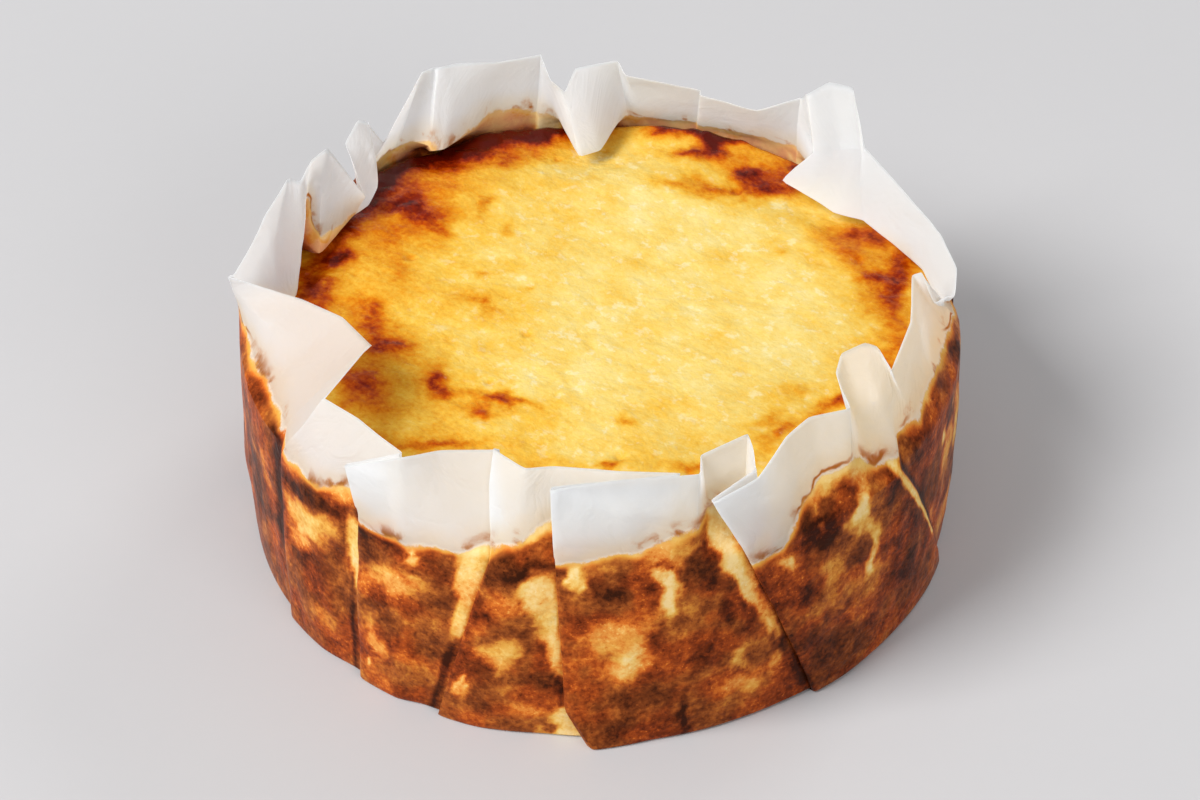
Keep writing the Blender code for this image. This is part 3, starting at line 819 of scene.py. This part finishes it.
def run_tree(piece, tree, values):
    """Run a geometry tree on a piece and return its result as a plain mesh object."""
    modifier = piece.modifiers.new(tree.name, "NODES")
    modifier.node_group = tree
    for item in tree.interface.items_tree:
        if item.in_out == "INPUT" and item.name in values:
            modifier[item.identifier] = values[item.name]
    graph = bpy.context.evaluated_depsgraph_get()
    mesh = bpy.data.meshes.new_from_object(piece.evaluated_get(graph), depsgraph=graph)
    made = bpy.data.objects.new("cheesecake_baked", mesh)
    bpy.context.scene.collection.objects.link(made)
    bpy.data.objects.remove(piece)
    return made


# ---------------- materials
def new_material(name):
    """Return a material with an empty tree and its output node."""
    made = bpy.data.materials.new(name)
    made.use_nodes = True
    made.node_tree.nodes.clear()
    return made, made.node_tree, made.node_tree.nodes.new("ShaderNodeOutputMaterial")


def cheesecake_material(baking, relief):
    """Make the caramelised skin of the cake."""
    made, tree, output = new_material("baked_cheesecake")
    place = put(tree, "ShaderNodeTexCoord").outputs["Object"]
    bake = stored(tree, "bake")
    drawn = drawn_out(tree, place, 0.88)
    mottled = placed_group(tree, baking, {
        "Vector": drawn, "Level": bake, "Coarse Size": 0.0046, "Fine Size": 0.0011,
        "Coarse Amount": 0.05, "Fine Amount": 0.03})
    # painted shade: the pits are coloured a little browner
    level = reckon(tree, "MULTIPLY_ADD", stored(tree, "pitted"), 0.10, mottled["Level"])
    uneven = reckon(tree, "MULTIPLY_ADD", mottled["Coarse"], 0.6, mottled["Fine"])
    level = reckon(tree, "MULTIPLY_ADD", uneven, product(tree, bake, 0.13), level)
    # painted highlights: pale cream flecks on the paler skin stand in for small glints
    glint_flecks = spread(tree, cloudy(tree, drawn, 330.0, 3.0, 0.65, 0.15), 0.54, 0.68)
    glint_flecks = product(tree, glint_flecks, spread(tree, bake, 0.35, 0.1, 0.0, 0.5))
    colour = mixed(tree, glint_flecks, ramp(tree, level, CAKE_RAMP), GLINT_CREAM)
    specks = cloudy(tree, place, 1500.0, 2.0)
    gloss = spread(tree, bake, 0.15, 0.6, 0.34, 0.20)
    rough = reckon(tree, "MULTIPLY_ADD", specks, 0.2, reckon(tree, "SUBTRACT", gloss, 0.10))
    height = placed_group(tree, relief, {
        "Vector": drawn, "Crease Size": 0.0034, "Grain Size": 0.0012,
        "Creases": 0.25, "Grain": 0.8})["Height"]
    bubbles = product(tree, bubbly(tree, place, 400.0, 0.5), spread(tree, bake, 0.35, 0.7))
    height = reckon(tree, "ADD", height, bubbles)
    bump = put(tree, "ShaderNodeBump", {"Height": height, "Strength": 0.45, "Distance": 0.0005}).outputs[0]
    skin = put(tree, "ShaderNodeBsdfPrincipled",
               {"Base Color": colour, "Roughness": rough, "Normal": bump, "IOR": 1.42,
                "Coat Weight": spread(tree, bake, 0.35, 0.8, 0.0, 0.22), "Coat Roughness": 0.10,
                "Specular IOR Level": 0.10, "Subsurface Weight": 0.05, "Subsurface Radius": (1.0, 0.6, 0.25),
                "Subsurface Scale": 0.002})
    tree.links.new(skin.outputs[0], output.inputs[0])
    return made


def parchment_material(name, baking, relief, browning, cover):
    """Make white baking parchment, browned and greasy where the cake baked in it."""
    made, tree, output = new_material(name)
    place = put(tree, "ShaderNodeTexCoord").outputs["Object"]
    sheet = put(tree, "ShaderNodeUVMap", uv_map="sheet").outputs[0]
    above = stored(tree, "above_stain")
    mottled = placed_group(tree, baking, {
        "Vector": place, "Level": stored(tree, "bake"), "Coarse Size": 0.0042, "Fine Size": 0.0012,
        "Coarse Amount": 0.11, "Fine Amount": 0.13})
    wander = reckon(tree, "MULTIPLY_ADD", mottled["Coarse"], 0.8, above)
    wander = reckon(tree, "MULTIPLY_ADD", mottled["Fine"], 0.3, wander)
    stained = spread(tree, wander, 0.4, -0.4)
    soaked = spread(tree, wander, 7.0, -0.5)
    flecks = cloudy(tree, place, 1300.0, 2.0)
    warm = cloudy(tree, place, 95.0, 3.0)
    level = reckon(tree, "MULTIPLY_ADD", spread(tree, flecks, 0.60, 0.74), 0.10, mottled["Level"])
    # painted sheen: paler flecks where the greasy paper would catch the light
    shiny = product(tree, spread(tree, flecks, 0.40, 0.30), spread(tree, warm, 0.45, 0.66, 0.0, -0.16))
    level = reckon(tree, "ADD", shiny, level)
    deep = spread(tree, wander, -3.0, -8.0, browning, 1.0)
    near = spread(tree, wander, 0.5, -2.4, 0.26, 1.0)
    level = product(tree, level, product(tree, near, deep))
    browned = mixed(tree, spread(tree, warm, 0.40, 0.60), ramp(tree, level, GOLDEN_RAMP),
                    ramp(tree, level, ORANGE_RAMP))
    clean = mixed(tree, product(tree, soaked, 0.26), WHITE_PAPER, GREASED_PAPER)
    wisps = spread(tree, cloudy(tree, place, 130.0, 5.0, 0.6, 0.4), 0.53, 0.65)
    wisps = product(tree, wisps, spread(tree, above, 4.0, 0.2))
    # thin tide line of dried fat, which wanders above the stain's edge in places
    drift = reckon(tree, "MULTIPLY_ADD", warm, 11.0, -6.6)
    line = reckon(tree, "ABSOLUTE", reckon(tree, "ADD", above, drift))
    line = product(tree, spread(tree, line, 0.7, 0.15), spread(tree, above, 4.0, 2.0))
    line = product(tree, line, spread(tree, cloudy(tree, place, 48.0, 2.0), 0.54, 0.62))
    fat = product(tree, reckon(tree, "MAXIMUM", wisps, line), 0.95)
    clean = mixed(tree, fat, clean, TIDE_LINE)
    cover = spread(tree, wander, -3.0, -8.0, cover, 1.0)
    colour = mixed(tree, product(tree, stained, cover), clean, browned)
    rough = reckon(tree, "MULTIPLY_ADD", flecks, 0.2, spread(tree, wander, -1.5, 1.0, 0.24, 0.42))
    height = placed_group(tree, relief, {
        "Vector": sheet, "Crease Size": 0.010, "Grain Size": 0.0006,
        "Creases": 0.8, "Grain": 0.12})["Height"]
    bump = put(tree, "ShaderNodeBump", {"Height": height, "Strength": 0.35, "Distance": 0.0005}).outputs[0]
    sheen = put(tree, "ShaderNodeBsdfPrincipled",
                {"Base Color": colour, "Roughness": rough, "Normal": bump, "IOR": 1.42,
                 "Specular IOR Level": 0.06})
    cool = mixed(tree, 1.0, colour, COOL_WHITE, "MULTIPLY")
    through = put(tree, "ShaderNodeBsdfTranslucent", {"Color": cool, "Normal": bump})
    # clean paper lets the light through, and browned paper hardly does
    share = spread(tree, wander, -0.8, 0.8, 0.03, 0.73)
    both = put(tree, "ShaderNodeMixShader", {0: share, 1: sheen.outputs[0], 2: through.outputs[0]})
    tree.links.new(both.outputs[0], output.inputs[0])
    return made


def floor_material(baking):
    """Make the plain pale grey floor."""
    made, tree, output = new_material("pale_floor")
    place = put(tree, "ShaderNodeTexCoord").outputs["Object"]
    cloud = placed_group(tree, baking, {
        "Vector": place, "Level": 0.5, "Coarse Size": 0.12, "Fine Size": 0.004,
        "Coarse Amount": 0.05, "Fine Amount": 0.03})
    colour = ramp(tree, cloud["Level"], FLOOR_RAMP)
    plain = put(tree, "ShaderNodeBsdfPrincipled", {"Base Color": colour, "Roughness": 0.7})
    tree.links.new(plain.outputs[0], output.inputs[0])
    return made


CAKE_LIGHT = 0.78           # how much of a colour's light the cake's skin keeps
# colour of the painted glints on the top of the cake
GLINT_CREAM = tint(255, 246, 200, CAKE_LIGHT)
CAKE_STEPS = (0.00, 0.12, 0.24, 0.36, 0.50, 0.64, 0.80, 1.00)
CAKE_RAMP = ramp_stops(CAKE_STEPS, (
    (255, 234, 158), (253, 219, 118), (250, 198, 74), (240, 168, 42), (224, 128, 14),
    (196, 80, 2), (144, 36, 0), (86, 10, 0),
), CAKE_LIGHT)
PAPER_STEPS = (0.00, 0.15, 0.32, 0.48, 0.62, 0.76, 0.90, 1.00)
GOLDEN_RAMP = ramp_stops(PAPER_STEPS, (
    (244, 214, 148), (238, 198, 112), (226, 166, 72), (206, 130, 50), (168, 90, 36),
    (124, 60, 24), (86, 38, 14), (56, 24, 8),
))
ORANGE_RAMP = ramp_stops(PAPER_STEPS, (
    (246, 214, 150), (240, 196, 114), (232, 158, 72), (214, 114, 40), (172, 76, 26),
    (128, 52, 18), (86, 32, 8), (58, 20, 6),
))
WHITE_PAPER = tint(253, 253, 252)
GREASED_PAPER = tint(250, 222, 160)
TIDE_LINE = tint(214, 148, 62)
COOL_WHITE = (0.97, 0.98, 1.0, 1.0)
FLOOR_RAMP = ((0.0, tint(188, 187, 188)), (1.0, tint(198, 197, 198)))


# ---------------- the scene
# lights, in metres: name, place, what it points at, width and height, and watts
LIGHTS = (
    ("key_light", (-2.35, -1.20, 2.70), (0, 0, 0.03), (1.7, 1.7), 156.0),
    ("front_light", (1.40, -2.30, 1.60), (0, 0, 0.04), (1.8, 1.0), 25.0),
    ("back_light", (1.50, 2.00, 1.85), (0, 0, 0.05), (1.0, 0.6), 16.0),
)
EVEN_LIGHT = 0.345          # strength of the light from all round
CAMERA_PLACE = (0.0, -0.5033, 0.4489)
CAMERA_TARGET = (0.0, 0.0, 0.0266)


def facing(place, target):
    """Return the turn that points an object at a target."""
    return (Vector(target) - Vector(place)).to_track_quat("-Z", "Y").to_euler()


def soft_light(name, place, target, size, power):
    """Add one soft rectangular light."""
    data = bpy.data.lights.new(name, "AREA")
    data.shape = "RECTANGLE"
    data.size, data.size_y = size
    data.energy = power
    made = bpy.data.objects.new(name, data)
    made.location = place
    made.rotation_euler = facing(place, target)
    bpy.context.scene.collection.objects.link(made)


def set_camera():
    """Add the camera, above the front and looking down at the cake."""
    data = bpy.data.cameras.new("camera")
    data.lens = 90.0
    data.sensor_width = 36.0
    made = bpy.data.objects.new("camera", data)
    made.location = CAMERA_PLACE
    made.rotation_euler = facing(CAMERA_PLACE, CAMERA_TARGET)
    bpy.context.scene.collection.objects.link(made)
    bpy.context.scene.camera = made


def set_stage(baking):
    """Add the floor, the lights and the even light from all round."""
    mesh = bpy.data.meshes.new("floor")
    mesh.from_pydata([(-4, -4, 0), (4, -4, 0), (4, 4, 0), (-4, 4, 0)], [], [(0, 1, 2, 3)])
    mesh.materials.append(floor_material(baking))
    floor = bpy.data.objects.new("floor", mesh)
    bpy.context.scene.collection.objects.link(floor)
    for light in LIGHTS:
        soft_light(*light)
    world = bpy.data.worlds.new("even_light")
    world.use_nodes = True
    even = world.node_tree.nodes["Background"]
    even.inputs["Color"].default_value = COOL_WHITE
    even.inputs["Strength"].default_value = EVEN_LIGHT
    bpy.context.scene.world = world
    bpy.context.scene.view_settings.view_transform = "Standard"


def made_cheesecake(baking, relief):
    """Make the cake and set it in the frame."""
    skin = cheesecake_material(baking, relief)
    cake = run_tree(plain_cake(skin), baked_skin_tree(), {
        "Material": skin, "Wrinkle Height": 0.00022, "Wrinkle Size": 0.0042, "Swell Height": 0.00035,
        "Pit Depth": 0.0006, "Pit Spacing": 0.011, "Blister Height": 0.0005, "Blister Size": 0.0045})
    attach(cake, "root")
    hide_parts("cheesecake")


def made_parchment(baking, relief):
    """Make the paper case and set it in the frame."""
    outside = parchment_material("parchment_outside", baking, relief, 1.0, 1.0)
    inside = parchment_material("parchment_inside", baking, relief, 0.48, 0.84)
    case = parchment_case(outside, inside)
    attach(case, "root")
    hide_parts("parchment")


def main():
    """Make the whole scene."""
    set_camera()
    baking = uneven_baking_group()
    relief = fine_relief_group()
    set_stage(baking)
    made_cheesecake(baking, relief)
    made_parchment(baking, relief)


main()
